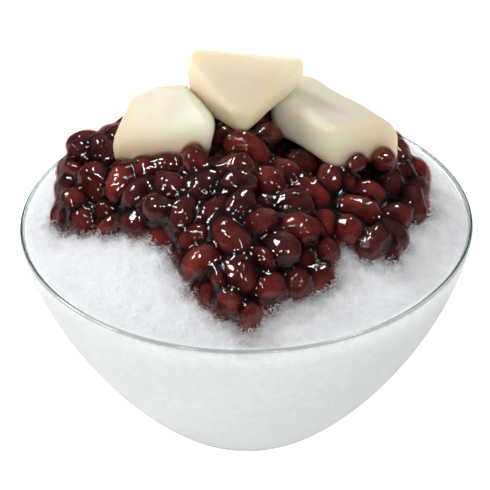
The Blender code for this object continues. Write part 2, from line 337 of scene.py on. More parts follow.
# %% Mottle and grain as node groups
def new_group(name, kind, **inputs):
    """A node group with plain values as inputs, and one output of a kind: color or vector."""
    group = bpy.data.node_groups.new(name, "ShaderNodeTree")
    for label, value in inputs.items():
        socket = "NodeSocketColor" if isinstance(value, tuple) else "NodeSocketFloat"
        group.interface.new_socket(label, in_out="INPUT", socket_type=socket).default_value = value
    group.interface.new_socket("Result", in_out="OUTPUT", socket_type="NodeSocket" + kind)
    return group, group.nodes.new("NodeGroupInput").outputs, group.nodes.new("NodeGroupOutput").inputs[0]


def add_noise(tree, scale, detail):
    """Noise on object coordinates."""
    noise = tree.nodes.new("ShaderNodeTexNoise")
    tree.links.new(tree.nodes.new("ShaderNodeTexCoord").outputs["Object"], noise.inputs["Vector"])
    feed(tree, scale, noise.inputs["Scale"])
    feed(tree, detail, noise.inputs["Detail"])
    return noise.outputs[0]


def make_mottle():
    """Two colours blended by noise, in patches 1 / Scale metres wide."""
    group, given, result = new_group(
        "mottle", "Color", Colour=(1, 1, 1, 1), Other=(0.5, 0.5, 0.5, 1), Scale=200.0)
    patches = ramp(group, add_noise(group, given["Scale"], 3.0), 0.35, 0.65, 0.0, 1.0)
    feed(group, colour_ramp(group, patches, given["Colour"], given["Other"]), result)
    return group


def make_grain():
    """A normal with bumps of noise, Scale to the metre, Depth metres deep and finer with Detail."""
    group, given, result = new_group("grain", "Vector", Scale=1500.0, Depth=0.0002, Detail=4.0)
    bump = group.nodes.new("ShaderNodeBump")
    feed(group, 1.0, bump.inputs["Strength"])
    feed(group, add_noise(group, given["Scale"], given["Detail"]), bump.inputs["Height"])
    feed(group, given["Depth"], bump.inputs["Distance"])
    feed(group, bump.outputs[0], result)
    return group


MOTTLE = make_mottle()
GRAIN = make_grain()
print("shared effects:", MOTTLE.name, "and", GRAIN.name)

# %% Finishes that can use them
def new_finish(name, colour, roughness, **plain):
    """A Principled finish whose sockets hold plain values. Underscores stand for spaces."""
    finish = bpy.data.materials.new(name)
    finish.use_nodes = True
    shader = finish.node_tree.nodes["Principled BSDF"]
    shader.inputs["Base Color"].default_value = (*colour, 1)
    shader.inputs["Roughness"].default_value = roughness
    for key, value in plain.items():
        shader.inputs[key.replace("_", " ")].default_value = value
    return finish


def use_group(finish, group, **values):
    """Put a shared group into a finish with its own values, and return its output."""
    node = finish.node_tree.nodes.new("ShaderNodeGroup")
    node.node_tree = group
    for key, value in values.items():
        node.inputs[key].default_value = value
    return node.outputs[0]


def link(finish, source, socket):
    """Lead an output into a socket of the finish's own Principled shader."""
    shader = finish.node_tree.nodes["Principled BSDF"]
    finish.node_tree.links.new(source, shader.inputs[socket])


def mottled(finish, colour, other, scale):
    """Soft patches of two colours."""
    return use_group(finish, MOTTLE, Colour=(*colour, 1), Other=(*other, 1), Scale=scale)


def add_grain(finish, scale, depth, detail=4.0):
    """Small bumps over a finish. Gives back the normal for others to use."""
    normal = use_group(finish, GRAIN, Scale=scale, Depth=depth, Detail=detail)
    link(finish, normal, "Normal")
    return normal


def attribute(finish, name):
    """The number that a piece's points carry under a name."""
    node = finish.node_tree.nodes.new("ShaderNodeAttribute")
    node.attribute_name = name
    return node.outputs["Fac"]


def blend_by(finish, name, low, high):
    """Colour low where a piece's points carry 0 under a name, and colour high where they carry 1."""
    return colour_ramp(finish.node_tree, attribute(finish, name), low, high)


def soak_up(finish, colour, density):
    """Let the inside of a finish take light away, so that thick parts get darker."""
    tree = finish.node_tree
    inside = tree.nodes.new("ShaderNodeVolumeAbsorption")
    inside.inputs["Color"].default_value = (*colour, 1)
    inside.inputs["Density"].default_value = density
    tree.links.new(inside.outputs[0], tree.nodes["Material Output"].inputs["Volume"])


print("helpers for finishes are ready")

# %% [markdown]
# ## The glass bowl
# A pressed glass bowl is a solid of revolution. Its outside is one long curve from the small foot to
# the wide rim, the inside is the same curve moved in by the wall's thickness, and the lip between
# them is a half round. The section is worked out as points of radius and height and carried around
# Z in 256 steps, which keeps every reflection smooth. Glass looks dark where light has run along
# inside it. That dark band is painted into the lip as a dark grey-green colour, a painted shade, and
# the wall is a little frosted by the ice.

# %% The bowl's section
bowl_low, bowl_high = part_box("glass_bowl")
RIM_R = bowl_high.x
BOWL_H = bowl_high.z
FOOT_R = 26.0 * MM
LIP_R = 0.90 * MM  # half the wall's thickness at the lip
PUNT_R = 19.0 * MM  # the hollow under the foot
PUNT_DEPTH = 0.8 * MM
FLOOR_Z = 6.0 * MM  # height of the inner floor
WALL_LOW = 3.4 * MM  # the wall's thickness at the foot
FLOOR_JOIN = 0.16  # share of the wall over which the inner floor curves up
FLOOR_PULL = 17.0 * MM  # flatness of that curve
EDGE_ROUND = 0.5 * MM  # rounding of the foot's outer edge
FINE = 400  # steps of the curve that the inner wall is measured from
WALL_STEPS, AROUND = 56, 256


def pull(point, length, slope, sign):
    """The handle of a curve: a step of a given length up or down a slope in degrees."""
    turn = math.radians(slope)
    return point[0] + sign * length * math.cos(turn), point[1] + sign * length * math.sin(turn)


def bezier(p0, p1, p2, p3, steps):
    """Points of a cubic curve, both ends included: the sum of its four Bernstein terms."""
    t = np.linspace(0.0, 1.0, steps + 1)[:, None]
    p0, p1, p2, p3 = (np.array(p) for p in (p0, p1, p2, p3))
    return (1 - t) ** 3 * p0 + 3 * (1 - t) ** 2 * t * p1 + 3 * (1 - t) * t ** 2 * p2 + t ** 3 * p3


def outer_wall(steps):
    """Outside of the wall from the foot up to the start of the lip."""
    foot = (FOOT_R, 0.0)
    rim = (RIM_R, BOWL_H - LIP_R)
    return bezier(foot, pull(foot, 24.5 * MM, 38.5, 1), pull(rim, 24.8 * MM, 80.8, -1), rim, steps)


def inner_wall(steps, into_glass=0.0):
    """Inside of the bowl from the middle of its floor up to the lip, or so far into the glass."""
    fine = outer_wall(FINE)
    along = unit(np.gradient(fine, axis=0))
    t = np.linspace(0.0, 1.0, len(fine))[:, None]
    thick = WALL_LOW + (2 * LIP_R - WALL_LOW) * t - into_glass
    inside = fine + thick * np.stack([-along[:, 1], along[:, 0]], axis=1)
    inside[-1] = (RIM_R - 2 * LIP_R + into_glass, BOWL_H - LIP_R)
    join = int(FLOOR_JOIN * FINE)
    back = inside[join] - along[join] * 0.6 * FLOOR_PULL
    level = FLOOR_Z - into_glass
    floor_curve = bezier((0.0, level), (FLOOR_PULL, level), back, inside[join], steps // 4)
    keep = np.linspace(join, FINE, steps + 1).round().astype(int)
    return np.concatenate([floor_curve[:-1], inside[keep]])


print("the rim's radius is", round(RIM_R / MM, 1), "mm, the bowl's height", round(BOWL_H / MM, 1), "mm")

# %% Carry the section around
def bowl_section():
    """The whole section from the axis on the inner floor, over the lip, to the axis under the foot."""
    turns = np.radians(np.linspace(180, 0, 14)[1:-1])[:, None]
    lip = (RIM_R - LIP_R, BOWL_H - LIP_R) + LIP_R * np.hstack([np.cos(turns), np.sin(turns)])
    outside = outer_wall(WALL_STEPS)[::-1]
    turns = np.radians(np.linspace(200, 270, 6))[:, None]
    foot = (FOOT_R - 0.9 * MM, EDGE_ROUND) + EDGE_ROUND * np.hstack([-np.cos(turns), np.sin(turns)])
    punt_edge = bezier((PUNT_R + 1.6 * MM, 0.0), (PUNT_R + 0.8 * MM, 0.0),
                       (PUNT_R + 0.6 * MM, PUNT_DEPTH), (PUNT_R - 0.6 * MM, PUNT_DEPTH), 5)
    middle = np.array([(PUNT_R * 0.5, PUNT_DEPTH), (0.0, PUNT_DEPTH)])
    outside = outside[outside[:, 1] > foot[0, 1]]
    return np.concatenate([inner_wall(WALL_STEPS), lip, outside, foot[-1:], punt_edge, middle])


def turned(section, around):
    """Points and faces of a section of (radius, height) whose two ends lie on the axis."""
    angle = np.arange(around) * 2 * np.pi / around
    rings = carry_round(section[1:-1], angle)
    points = np.concatenate([rings.reshape(-1, 3), [(0, 0, section[0, 1]), (0, 0, section[-1, 1])]])
    here = np.arange(rings.shape[0] * around).reshape(-1, around)
    beside = np.roll(here, -1, axis=1)
    first = np.stack([np.full(around, len(points) - 2), beside[0], here[0]], axis=1)
    last = np.stack([np.full(around, len(points) - 1), here[-1], beside[-1]], axis=1)
    return points, [ring_quads(here), np.concatenate([first, last])]


print("the section has", len(bowl_section()), "points")

# %% Glass finish and the bowl
GLASS_TINT = (0.982, 0.990, 0.987)
# the lip's colour is painted shade: the dark band of light that has run along inside the glass
LIP_PAINTED_SHADE = (0.36, 0.41, 0.39)
WALL_ROUGH, LIP_ROUGH = 0.13, 0.07
LIP_DEPTH = 0.75 * MM  # how far below the rim the lip's painted shade begins
LIP_BLEND = 0.35 * MM  # and over what height it grows
GLASS = new_finish("clear_glass", GLASS_TINT, 0.0, Transmission_Weight=1.0, IOR=1.5)
tree = GLASS.node_tree
# towards the rim the glass colour darkens to the lip's painted shade
link(GLASS, blend_by(GLASS, "lip", GLASS_TINT, LIP_PAINTED_SHADE), "Base Color")
link(GLASS, ramp(tree, attribute(GLASS, "lip"), 0.0, 1.0, WALL_ROUGH, LIP_ROUGH), "Roughness")
add_grain(GLASS, 260.0, 0.00012, detail=1.0)
soak_up(GLASS, (0.60, 0.74, 0.70), 26.0)
through = tree.nodes.new("ShaderNodeBsdfTransparent")
rays = tree.nodes.new("ShaderNodeLightPath")
lamp_way = tree.nodes.new("ShaderNodeMixShader")
tree.links.new(rays.outputs["Is Shadow Ray"], lamp_way.inputs["Fac"])
tree.links.new(tree.nodes["Principled BSDF"].outputs[0], lamp_way.inputs[1])
tree.links.new(through.outputs[0], lamp_way.inputs[2])
tree.links.new(lamp_way.outputs[0], tree.nodes["Material Output"].inputs["Surface"])
points, faces = turned(bowl_section(), AROUND)
lip = np.clip((points[:, 2] - BOWL_H + LIP_DEPTH) / LIP_BLEND, 0, 1)
bowl = add_piece("bowl", points, faces, GLASS, {"lip": lip})
seat(bowl, "clear_glass", "glass_bowl")

# %% [markdown]
# ## Room for the beans
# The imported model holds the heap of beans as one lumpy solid. To fill it with real beans, the script
# needs to know at any point how deep it lies inside that solid. The depth is measured once on a
# coarse lattice and blended in between, which is far quicker than asking the mesh each time. A
# ladled heap has no even edge, so its outline is drawn in at one place and pushed out at two.

# %% The height of the ice that the beans lie on
ice_low, ice_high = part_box("shaved_ice")
ICE_TOP_Z = BOWL_H - 1.05 * MM
ICE_DOME = ice_high.z - ICE_TOP_Z


def mound(x, y):
    """Height of the ice: a parabola over the line where it meets the glass, with soft waves."""
    r = np.hypot(x, y) / ice_high.x
    bearing = np.arctan2(y, x)
    wave = np.sin(3 * bearing + 1.0) + 0.7 * np.sin(5 * bearing + 0.4) + 0.5 * np.cos(8 * bearing)
    bump = 0.7 * MM * wave * np.sin(np.pi * np.clip(r, 0, 1)) ** 2
    return ICE_TOP_Z + ICE_DOME * np.clip(1 - r * r, 0.0, 1.0) + bump


print("the ice stands", round(mound(0, 0) / MM, 1), "mm high in the middle")

# %% Lattices
def lattice(low, high, step):
    """The points of a lattice over a box, and how many there are along each side."""
    counts = [int(math.ceil((b - a) / step)) + 1 for a, b in zip(low, high)]
    axes = [a + step * np.arange(n) for a, n in zip(low, counts)]
    return np.stack(np.meshgrid(*axes, indexing="ij"), axis=3), counts


def read_lattice(field, low, step, points):
    """Blend of the eight lattice values around each point; outside, those of the nearest edge."""
    limit = np.array(field.shape) - 1.001
    where = np.clip((points - low) / step, 0, limit)
    cell = where.astype(int)
    return blend_corners(cell, where - cell, lambda at: field[tuple(at.T)])


print("a cube of 1 with steps of 0.5 takes", lattice((0, 0, 0), (1, 1, 1), 0.5)[1], "points")

# %% Depth inside the heap
HEAP_STEP = 2.0 * MM  # of the lattice
SINK = 2  # lattice steps that beans may press into the ice
EDGE_SHIFTS = (  # bearing and width in degrees, and millimetres out
    (166.0, 7.0, -6.0), (188.0, 9.0, 1.0), (266.0, 9.0, 2.4))
LEDGE_Z = 75.0 * MM  # where it is pushed out, beans stay above this height
OVERHANG_Z = 84.0 * MM  # where the edge is drawn in, beans above this height hang over the snow
UPWARD = Vector((0.013, 0.007, 1.0)).normalized()  # leans, so that it never runs along an edge
STEP_OVER = 0.01 * MM  # restarts a ray just past the face that it has met
heap_low, heap_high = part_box("bean_heap")
heap_low = np.array(heap_low - Vector((3, 3, 7)) * MM)
heap_high = np.array(heap_high + Vector((3, 3, 3)) * MM)


def tree_of(node):
    """A search tree over a CAD node's triangles."""
    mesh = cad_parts[node].data
    return BVHTree.FromPolygons([v.co for v in mesh.vertices], [p.vertices for p in mesh.polygons])


heap_tree = tree_of("bean_heap")
heap_places, heap_counts = lattice(heap_low, heap_high, HEAP_STEP)


def edge_shift(bearing):
    """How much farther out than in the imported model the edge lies: a sum of soft bell curves."""
    return sum(out * MM * np.exp(-((bearing - at) / width) ** 2) for at, width, out in EDGE_SHIFTS)


def heap_depth(place):
    """Distance from a place to the heap's skin: more than 0 inside, less than 0 outside.

    A place is inside if a ray from it meets the skin an odd number of times.
    """
    start = Vector(place)
    distance = heap_tree.find_nearest(start)[3]
    inside = False
    while (hit := heap_tree.ray_cast(start, UPWARD)[0]) is not None:
        inside = not inside
        start = hit + UPWARD * STEP_OVER
    return distance if inside else -distance


heap_field = np.array([heap_depth(p) for p in heap_places.reshape(-1, 3)]).reshape(heap_counts)
bean_room = heap_field.copy()
bean_room[:, :, :-SINK] = np.maximum(heap_field[:, :, :-SINK], heap_field[:, :, SINK:])
heap_bearing = np.degrees(np.arctan2(heap_places[..., 1], heap_places[..., 0])) % 360
heap_shift = edge_shift(heap_bearing)
drawn_in = (heap_shift < 0) & (heap_places[..., 2] < OVERHANG_Z)
pushed_out = (heap_shift > 0) & (heap_places[..., 2] > LEDGE_Z)
bean_room += heap_shift * (drawn_in | pushed_out)
print("heap lattice", heap_counts, "deepest", round(heap_field.max() / MM, 1), "mm")

# %% [markdown]
# ## Packing the beans
# Beans poured in a heap push each other aside until none overlap. A rigid body simulation could do
# this, but a shorter way gives the same picture: each bean is three balls in a row, pairs of balls
# that overlap push each other apart, and the heap's skin pushes balls back inside. After some hundred
# rounds the beans lie tight and in all directions, as in a ladleful. Beans along the edge and beans
# that lean on the rice cakes are placed first and hardly give way.

# %% Where the beans start
BEAN_LONG, BEAN_WIDE = 11.8 * MM, 8.1 * MM
BEAN_COUNT = 210
EDGE_SPACING = 9.0 * MM  # between beans along the edge
HEAP_BEARINGS = 72  # directions in which the edge is looked up
LEANING = (  # which block, x, and rise over its bottom edge, in mm
    ("left", -37.0, -1.0), ("left", -29.5, -0.5), ("left", -22.0, 1.2), ("left", -14.5, 3.4),
    ("right", 17.0, -4.0), ("right", 25.0, -3.5), ("right", 33.5, 2.4), ("right", 41.5, 2.6))
rng = np.random.default_rng(12)


def room_at(places):
    """How deep places lie in the room for the beans."""
    return read_lattice(bean_room, heap_low, HEAP_STEP, places)


def scatter_inside(count):
    """Random places in the heap, at least a tenth of a bean deep."""
    tries = rng.uniform(heap_low, heap_high, (count * 30, 3))
    return tries[room_at(tries) > 0.1 * BEAN_WIDE][:count]


def outline_of_heap(spacing):
    """Places and directions along the heap's edge: its widest points by bearing, evenly spaced."""
    corners = np.array([v.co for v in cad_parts["bean_heap"].data.vertices])
    bearing = np.degrees(np.arctan2(corners[:, 1], corners[:, 0])) % 360
    far = np.zeros(HEAP_BEARINGS)
    slot = np.round(bearing * HEAP_BEARINGS / 360).astype(int) % HEAP_BEARINGS
    np.maximum.at(far, slot, np.hypot(corners[:, 0], corners[:, 1]))
    turn = np.arange(HEAP_BEARINGS + 1) * 2 * np.pi / HEAP_BEARINGS
    far = np.append(far, far[0]) + edge_shift(np.degrees(turn))
    loop = np.stack([far * np.cos(turn), far * np.sin(turn)], axis=1)
    length = np.concatenate([[0], np.cumsum(np.linalg.norm(np.diff(loop, axis=0), axis=1))])
    want = np.arange(0, length[-1] - 0.5 * spacing, spacing)
    place = np.stack([np.interp(want, length, loop[:, k]) for k in (0, 1)], axis=1)
    ahead = np.stack([np.interp(want + MM, length, loop[:, k]) for k in (0, 1)], axis=1) - place
    return place, unit(ahead)


def beside_cakes():
    """Places where beans lean on the front of the rice cakes and hide parts of their edges.

    Level rays from the front find each block's foremost face and its bottom edge.
    """
    places = []
    for which, x, rise in LEANING:
        node = "rice_cake_" + which
        cake_tree = tree_of(node)
        low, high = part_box(node)
        rays = [cake_tree.ray_cast(Vector((x * MM, -0.2, z)), Vector((0, 1, 0)))[0]
                for z in np.arange(low.z, high.z, 0.25 * MM)]
        front = np.array([hit for hit in rays if hit is not None])
        bottom = front[front[:, 1] < front[:, 1].min() + 2.5 * MM][0]
        places.append((x * MM, bottom[1] - 0.45 * BEAN_WIDE, bottom[2] + rise * MM))
    return np.array(places)


def random_axes(count):
    """Unit vectors in all directions, but more of them level, as beans mostly lie."""
    return unit(rng.normal(size=(count, 3)) * (1, 1, 0.6))


leaning = beside_cakes()
print(len(leaning), "beans lean on the cakes, the highest", round(leaning[:, 2].max() / MM, 1), "mm up")

# %% Push beans apart inside the heap
SOFTNESS = 0.94  # share of a ball that counts, as beans press each other flat
SKIN_SHARE = 0.86  # depth of a ball's middle below the heap's skin, over its radius
PUSH, TURN = 0.35, 0.5  # share of an overlap undone in one round, and of a turn
LONGEST_STEP = 0.6 * MM
EDGE_FREEDOM = 0.05  # share of a push that beans along the edge follow
ROUNDS = 260


def pack(middle, axis, size, rounds, held):
    """Push the balls of all beans apart and into the heap, and turn each bean after its balls.

    The beans before held[0] hardly move, and those from there up to held[1] not at all.
    """
    freedom = np.ones((len(middle), 1))
    freedom[:held[0]] = EDGE_FREEDOM
    freedom[held[0]:held[1]] = 0
    radius = 0.5 * BEAN_WIDE * size
    reach = 0.5 * (BEAN_LONG - BEAN_WIDE) * size
    owner = np.repeat(np.arange(len(middle)), 3)
    apart = owner[:, None] != owner[None, :]
    ball_r = SOFTNESS * radius[owner]
    steps = np.eye(3) * 0.5 * HEAP_STEP
    for _ in range(rounds):
        along = axis[:, None] * (reach[:, None] * (-1, 0, 1))[..., None]
        balls = (middle[:, None] + along).reshape(-1, 3)
        gap = balls[:, None] - balls[None]
        far = np.sqrt((gap ** 2).sum(axis=2)) + 1e-9
        overlap = np.clip(ball_r[:, None] + ball_r[None] - far, 0, None) * apart
        shift = PUSH * (gap * (overlap / far)[..., None]).sum(axis=1)
        depth = room_at(balls)
        slope = np.stack([room_at(balls + s) - room_at(balls - s) for s in steps], axis=1)
        shift += unit(slope, 1e-9) * np.clip(SKIN_SHARE * ball_r - depth, 0, None)[:, None]
        shift = np.clip(shift, -LONGEST_STEP, LONGEST_STEP).reshape(-1, 3, 3)
        middle = middle + freedom * shift.mean(axis=1)
        axis = unit(axis + freedom * (shift[:, 2] - shift[:, 0]) / (2 * reach)[:, None] * TURN)
    return middle, axis, overlap.max() / MM


def jitter(count):
    """Random steps of up to 0.8 mm."""
    return rng.uniform(-0.8, 0.8, count) * MM


edge_place, edge_way = outline_of_heap(EDGE_SPACING)
edge_count = len(edge_place)
bean_size = np.clip(rng.normal(1.0, 0.19, BEAN_COUNT), 0.66, 1.34)
edge_size = bean_size[:edge_count]
inward = np.stack([-edge_way[:, 1], edge_way[:, 0]], axis=1)
edge_place = edge_place + inward * (0.42 * BEAN_WIDE * edge_size + jitter(edge_count))[:, None]
edge_height = mound(*edge_place.T) + 0.30 * BEAN_WIDE * edge_size + jitter(edge_count)
held_count = edge_count + len(leaning)
inner = scatter_inside(BEAN_COUNT - held_count)
bean_middle = np.concatenate([np.column_stack([edge_place, edge_height]), leaning, inner])
bean_axis = random_axes(BEAN_COUNT)
along_edge = np.column_stack([edge_way, np.zeros(edge_count)])
bean_axis[:edge_count] += along_edge * rng.choice([-1, 1], (edge_count, 1))
held = (edge_count, held_count)
bean_middle, bean_axis, worst = pack(bean_middle, unit(bean_axis), bean_size, ROUNDS, held)
print(edge_count, "beans along the edge and", len(leaning), "against the cakes")
print(len(bean_middle), "beans packed, the closest pair overlaps by", round(worst, 2), "mm")

# %% [markdown]
# ## The beans themselves
# A cooked red bean is a short barrel with blunt ends, a slight bend and a flat side where its eye
# sits, and its skin has soft dents. All beans come from one cage: the six sides of a cube, each cut
# three by three and blown up to a ball. It has no poles and only 54 faces, and one level of
# subdivision rounds it. Each bean gets its own dents, so that no two are alike.

# %% One cage for every bean
def ball_cage(cuts):
    """Points on the unit ball and quads: a cube's faces, cut and pushed out to the ball."""
    side = np.tan(np.linspace(-np.pi / 4, np.pi / 4, cuts + 1))
    u, v = np.meshgrid(side, side, indexing="ij")
    here = np.arange((cuts + 1) ** 2).reshape(cuts + 1, cuts + 1)
    square = grid_quads(here)
    points, faces = [], []
    for axis, sign in itertools.product(range(3), (-1, 1)):
        flat = np.stack([np.full_like(u, sign), u * sign, v], axis=2).reshape(-1, 3)
        faces.append(square + len(points) * len(flat))
        points.append(np.roll(flat, axis, axis=1))
    points = np.concatenate(points)
    points, place = np.unique(points.round(9), axis=0, return_inverse=True)
    return unit(points), place.ravel()[np.concatenate(faces)]


CAGE, CAGE_FACES = ball_cage(3)
print("each bean has", len(CAGE_FACES), "faces before it is rounded")

# %% Bend and turn the beans
CAGE_GROWTH = 1.07  # subdividing pulls a cage in, so it starts this much larger
BEAN_THICK = 0.93  # thickness over width
BEAN_HALF = 0.5 * np.array([BEAN_LONG, BEAN_WIDE, BEAN_WIDE * BEAN_THICK])
BLUNT = 2.5  # 2 is a ball, more is blunter
DENT = 0.11  # depth of the dents over the bean's size


def bean_shapes(count, seed):
    """Points (count, cage, 3) of beans lying along X, of unit length.

    A blunt ball, |x|^p + |y|^p + |z|^p = 1, times the bean's half sizes, bent along X, with the
    eye's flat on one side and soft dents.
    """
    draw = np.random.default_rng(seed)
    blunt = CAGE / (np.abs(CAGE) ** BLUNT).sum(axis=1)[:, None] ** (1 / BLUNT)
    shape = np.repeat(blunt[None], count, axis=0)
    wide = BEAN_WIDE / BEAN_LONG
    bend = draw.uniform(0.02, 0.22, (count, 1))
    flat = draw.uniform(0.02, 0.24, (count, 1))
    x, y, z = shape[..., 0], shape[..., 1], shape[..., 2]
    y = y + bend * (0.5 - x ** 2) + flat * np.exp(-(x / 0.5) ** 2 - (z / 0.5) ** 2) * (y < 0)
    z = z * (1 + 0.10 * x * draw.uniform(-1, 1, (count, 1)))
    shape = np.stack([x, y * wide, z * wide * BEAN_THICK], axis=2) / 2
    away = draw.uniform(0, 50, (count, 1, 3))
    dents = soft_noise((CAGE[None] + away).reshape(-1, 3), 0.8, seed).reshape(count, -1)
    return shape * (CAGE_GROWTH * (0.97 - DENT * np.abs(dents)))[..., None]


def turn_frames(axis, roll):
    """Rotation matrices whose first column is the axis, rolled about it."""
    helper = np.where(np.abs(axis[:, 2:]) < 0.9, (0, 0, 1), (1, 0, 0))
    side = unit(np.cross(helper, axis))
    over = np.cross(axis, side)
    cos, sin = np.cos(roll)[:, None], np.sin(roll)[:, None]
    return np.stack([axis, side * cos + over * sin, over * cos - side * sin], axis=2)


bean_turn = turn_frames(bean_axis, rng.uniform(0, 2 * np.pi, BEAN_COUNT))
lying = bean_shapes(BEAN_COUNT, 5) * (BEAN_LONG * bean_size)[:, None, None]
bean_points = np.einsum("bij,bkj->bki", bean_turn, lying) + bean_middle[:, None]
bean_tone = rng.beta(1.2, 2.6, BEAN_COUNT)
print("the longest bean has", round(BEAN_LONG * bean_size.max() / MM, 1), "mm")

# %% Press beans flat where they touch
GIVE = 0.55  # share of an overlap that each bean gives way
SQUEEZE = 0.85 * MM  # unevenness that neighbours share
SQUEEZE_SIZE = 5.5 * MM


def bean_distance(places, k):
    """Rough distance from places to bean k as an ellipsoid: f (f - 1) / |grad|, f the scaled radius."""
    half = bean_size[k] * BEAN_HALF
    own = (places - bean_middle[k]) @ bean_turn[k]
    scaled = np.sqrt(((own / half) ** 2).sum(axis=-1)) + 1e-6
    slope = np.sqrt(((own / half ** 2) ** 2).sum(axis=-1)) + 1e-6
    return scaled * (scaled - 1) / slope


def press(points):
    """Where two beans overlap, move the points of both back by about half, which leaves a flat."""
    flat = points.reshape(-1, 3)
    owner = np.repeat(np.arange(BEAN_COUNT), points.shape[1])
    depth = np.zeros(len(flat))
    for k in range(BEAN_COUNT):
        near = np.flatnonzero((np.abs(flat - bean_middle[k]).max(axis=1) < BEAN_LONG) & (owner != k))
        depth[near] = np.maximum(depth[near], -bean_distance(flat[near], k))
    toward = unit(bean_middle[owner] - flat, 1e-9)
    return (flat + toward * GIVE * np.clip(depth, 0, 2 * MM)[:, None]).reshape(points.shape)


def squeeze(points):
    """Points moved by soft random steps, the same for all that lies at one place."""
    steps = np.stack([soft_noise(points, SQUEEZE_SIZE, 61 + k) for k in range(3)], axis=1)
    return points + SQUEEZE * steps


round_points = bean_points
for _ in range(2):
    bean_points = press(bean_points)
print("pressed in by up to", round(np.abs(bean_points - round_points).max() / MM, 2), "mm")

# %% [markdown]
# ## The skin of a bean
# Cooked beans are red-brown, some of them nearly black. The skin itself is dull: all gloss comes from
# the syrup that lies over it as a piece of its own, so that the glints sit on the wet surface and the
# colour below it. Mottled patches and fine wrinkles break up the colour, and a number on each bean
# makes some redder and lighter than others.

# %% Bean finish and the beans
BEAN_SKIN = new_finish("sweet_red_bean", (0.06, 0.015, 0.012), 0.6, Specular_IOR_Level=0.0)
dark = mottled(BEAN_SKIN, (0.096, 0.033, 0.031), (0.038, 0.017, 0.017), 260.0)
red = mottled(BEAN_SKIN, (0.40, 0.050, 0.034), (0.16, 0.035, 0.030), 330.0)
link(BEAN_SKIN, blend_by(BEAN_SKIN, "tone", dark, red), "Base Color")
add_grain(BEAN_SKIN, 260.0, 0.0009)


def join_copies(clouds, cage_faces):
    """Points and faces of many copies of a cage as one mesh."""
    count, size = clouds.shape[:2]
    faces = (np.arange(count)[:, None, None] * size + cage_faces[None]).reshape(-1, cage_faces.shape[1])
    return clouds.reshape(-1, 3), faces


points, faces = join_copies(bean_points, CAGE_FACES)
tones = {"tone": np.repeat(bean_tone, len(CAGE))}
beans = add_piece("red_beans", squeeze(points), [faces], BEAN_SKIN, tones)
rounding = beans.modifiers.new("rounding", "SUBSURF")
rounding.levels = rounding.render_levels = 1
seat(beans, "sweet_red_bean", "bean_heap")

# %% [markdown]
# ## The syrup
# Thick syrup wraps every bean, fills the gaps and hangs in curved skins where two beans meet. Such a
# shape has no two handy parameters, so it is the level surface of a smooth union: every bean adds
# exp(-distance / reach) to a sum, and the surface runs where the sum has one fixed value. A short
# numpy version of surface nets turns a lattice of the sum into quads: one point in each crossed cell,
# one quad round each crossed edge. Then each point steps onto the exact surface, and a Shrinkwrap
# keeps a thin film over every bulge of a real bean.

# %% Surface nets
def surface_net(field, low, step):
    """Points and quads of the surface where a lattice field is 0. Less than 0 counts as inside.

    A cell's point is the mean of the places where the field crosses 0 on the cell's edges.
    """
    inside = field < 0
    shape = np.array(field.shape) - 1
    corners = np.array(list(itertools.product((0, 1), repeat=3)))
    cut = [np.s_[a:a + shape[0], b:b + shape[1], c:c + shape[2]] for a, b, c in corners]
    count = sum(inside[c].astype(np.int8) for c in cut)
    active = (count > 0) & (count < 8)
    values = np.stack([field[c][active] for c in cut], axis=1)
    where = np.argwhere(active).astype(float)
    total, hits = np.zeros_like(where), np.zeros(len(where))
    for i, j in itertools.combinations(range(8), 2):
        if np.abs(corners[i] - corners[j]).sum() != 1:
            continue
        crossed = (values[:, i] < 0) != (values[:, j] < 0)
        share = np.where(crossed, values[:, i] / np.where(crossed, values[:, i] - values[:, j], 1), 0)
        at = corners[i] + share[:, None] * (corners[j] - corners[i])
        total += at * crossed[:, None]
        hits += crossed
    points = np.array(low) + step * (where + total / hits[:, None])
    number = np.full(shape, -1)
    number[active] = np.arange(len(where))
    quads = []
    for axis in range(3):
        a, b = (axis + 1) % 3, (axis + 2) % 3
        front = np.take(inside, range(shape[axis]), axis)
        back = np.take(inside, range(1, shape[axis] + 1), axis)
        edge = np.argwhere(front != back)
        edge = edge[(edge[:, a] > 0) & (edge[:, b] > 0) & (edge[:, a] < shape[a]) & (edge[:, b] < shape[b])]
        ring = np.repeat(edge[:, None], 4, axis=1)
        ring[:, [1, 2], a] -= 1
        ring[:, [2, 3], b] -= 1
        quad = number[ring[..., 0], ring[..., 1], ring[..., 2]]
        outward = front[tuple(edge.T)]
        quads.append(np.where(outward[:, None], quad, quad[:, ::-1]))
    return points, np.concatenate(quads)


lone_corner = 1 - 2 * np.pad(np.ones((1, 1, 1)), 2)
print("a net round one corner has", len(surface_net(lone_corner, (0, 0, 0), 1.0)[1]), "quads")

# %% Keep the net closed
def fill_diagonals(field, value):
    """Set one more corner inside wherever a lattice square has only two inside, on a diagonal.

    Without this the net would join four faces at one edge there.
    """
    found = True
    while found:
        found = False
        for pair in itertools.combinations(range(3), 2):
            square = np.moveaxis(field, pair, (0, 1))
            inside = square < 0
            a, b, c, d = inside[:-1, :-1], inside[1:, :-1], inside[1:, 1:], inside[:-1, 1:]
            rising, falling = a & c & ~b & ~d, b & d & ~a & ~c
            square[1:, :-1][rising] = value
            square[:-1, :-1][falling] = value
            found = found or rising.any() or falling.any()


across = np.ones((2, 2, 1))
across[0, 0], across[1, 1] = -1, -1
fill_diagonals(across, -0.5)
print("two corners on a diagonal become", int((across < 0).sum()))

# %% The smooth union of beans
SYRUP_STEP = 0.75 * MM  # of the lattice
SYRUP_REACH = 1.15 * MM  # how far syrup bridges two beans
SYRUP_FILM = 0.36 * MM  # its thickness on top of a bean
THIN_FILM = 0.16 * MM  # and its least thickness where a bean bulges
CORE_DEPTH = 6.0 * MM  # below this depth the heap is all syrup and beans
FAR_AWAY = 9 * MM  # stands for any greater distance to a bean
BLOCK = 14  # lattice steps around a bean that it adds to the sum
BARELY_INSIDE = -0.05 * MM  # value that fills a gap across a diagonal
LONGEST_NUDGE = 0.3 * MM  # of one step onto the exact surface


